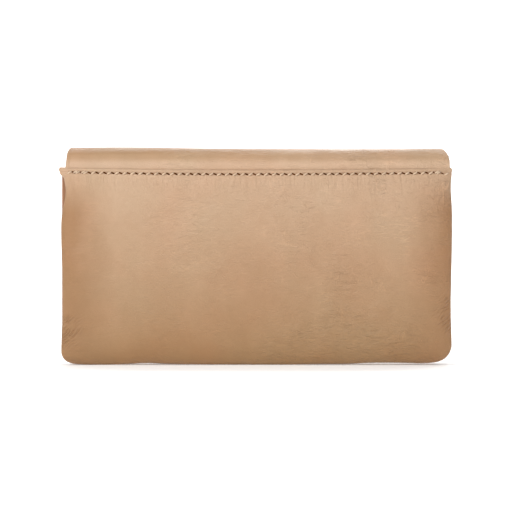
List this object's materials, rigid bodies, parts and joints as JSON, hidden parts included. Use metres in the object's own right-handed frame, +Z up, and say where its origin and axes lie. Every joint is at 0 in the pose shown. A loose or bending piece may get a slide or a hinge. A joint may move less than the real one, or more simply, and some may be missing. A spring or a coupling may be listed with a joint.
{
  "type": "long wallet",
  "caption": "Long wallet: a flap rolls over the top and closes on a press stud; inside are folding side gussets, card pockets and a zipped coin pocket.",
  "frame": {"origin": "middle of the underside of the closed wallet, which stands on its bottom fold", "axes": "+X along the width, +Z up towards the roll of the flap, +Y from the plain back to the front that the flap closes on"},
  "size_m": [0.19, 0.0294, 0.1065],
  "materials": {
    "outer_leather": "soft semi-matte tan nappa",
    "inner_leather": "smooth semi-matte tan",
    "gusset_leather": "thin smooth leather, a little redder",
    "lining": "fine plain weave",
    "foam": "closed-cell foam sheet",
    "board": "bonded leather board",
    "thread": "bonded polyester thread",
    "zip_tape": "woven herringbone tape",
    "zip_metal": "polished light gold",
    "press_stud": "satin light gold"
  },
  "bodies": {
    "back_half": {"back_panel": "outer_leather", "back_padding": "foam", "back_lining": "lining", "floor_lining": "lining", "flap_base": "outer_leather", "back_card_pocket_upper": "inner_leather", "back_card_pocket_middle": "inner_leather", "back_card_pocket_lower": "inner_leather", "gusset_left_back": "gusset_leather", "gusset_right_back": "gusset_leather", "back_seam_thread": "thread", "back_card_seam_thread": "thread"},
    "flap_roll": {"flap_top": "outer_leather", "flap_top_lining": "lining"},
    "flap_front": {"flap_cover": "outer_leather", "flap_stiffener": "board", "flap_cover_lining": "lining", "flap_edge_thread": "thread", "snap_cap": "press_stud", "snap_socket": "press_stud"},
    "front_half": {"front_panel": "outer_leather", "front_lining": "lining", "front_card_pocket_upper": "inner_leather", "front_card_pocket_middle": "inner_leather", "front_card_pocket_lower": "inner_leather", "gusset_left_front": "gusset_leather", "gusset_right_front": "gusset_leather", "front_card_seam_thread": "thread", "snap_stud": "press_stud", "snap_post": "press_stud"},
    "coin_section": {"coin_pocket_back": "inner_leather", "coin_pocket_front": "inner_leather", "coin_pocket_strip": "lining", "gusset_left_middle": "gusset_leather", "gusset_right_middle": "gusset_leather", "zip_tape_back": "zip_tape", "zip_tape_front": "zip_tape", "zip_teeth_back": "zip_metal", "zip_teeth_front": "zip_metal", "zip_top_stop": "zip_metal", "zip_bottom_stop": "zip_metal", "zip_seam_thread": "thread"},
    "zip_slider": {"zip_slider": "zip_metal"},
    "zip_pull": {"zip_pull": "zip_metal"}
  },
  "joints": [
    {"name": "flap_back_fold", "type": "hinge", "parent": "back_half", "child": "flap_roll", "pos_m": [0, -0.0135, 0.09985], "axis": [1, 0, 0], "range_deg": [0, 90]},
    {"name": "flap_front_fold", "type": "hinge", "parent": "flap_roll", "child": "flap_front", "pos_m": [0, 0.0136, 0.09985], "axis": [1, 0, 0], "range_deg": [0, 90]},
    {"name": "coin_fold", "type": "hinge", "parent": "back_half", "child": "coin_section", "pos_m": [0, 0.0105, 0.00715], "axis": [-1, 0, 0], "range_deg": [0, 10]},
    {"name": "front_fold", "type": "hinge", "parent": "coin_section", "child": "front_half", "pos_m": [0, 0.0105, 0.00715], "axis": [-1, 0, 0], "range_deg": [0, 10]},
    {"name": "zip_slide", "type": "slide", "parent": "coin_section", "child": "zip_slider", "axis": [-1, 0, 0], "range_m": [0, 0.1494]},
    {"name": "pull_swing", "type": "hinge", "parent": "zip_slider", "child": "zip_pull", "pos_m": [0.0747, -0.0015, 0.08545], "axis": [0, 1, 0], "range_deg": [0, 180]}
  ],
  "couplings": [
    {"joint": "flap_front_fold", "follows": "flap_back_fold", "ratio": 1},
    {"joint": "coin_fold", "follows": "flap_back_fold", "ratio": 0.1111},
    {"joint": "front_fold", "follows": "flap_back_fold", "ratio": 0.1111}
  ]
}
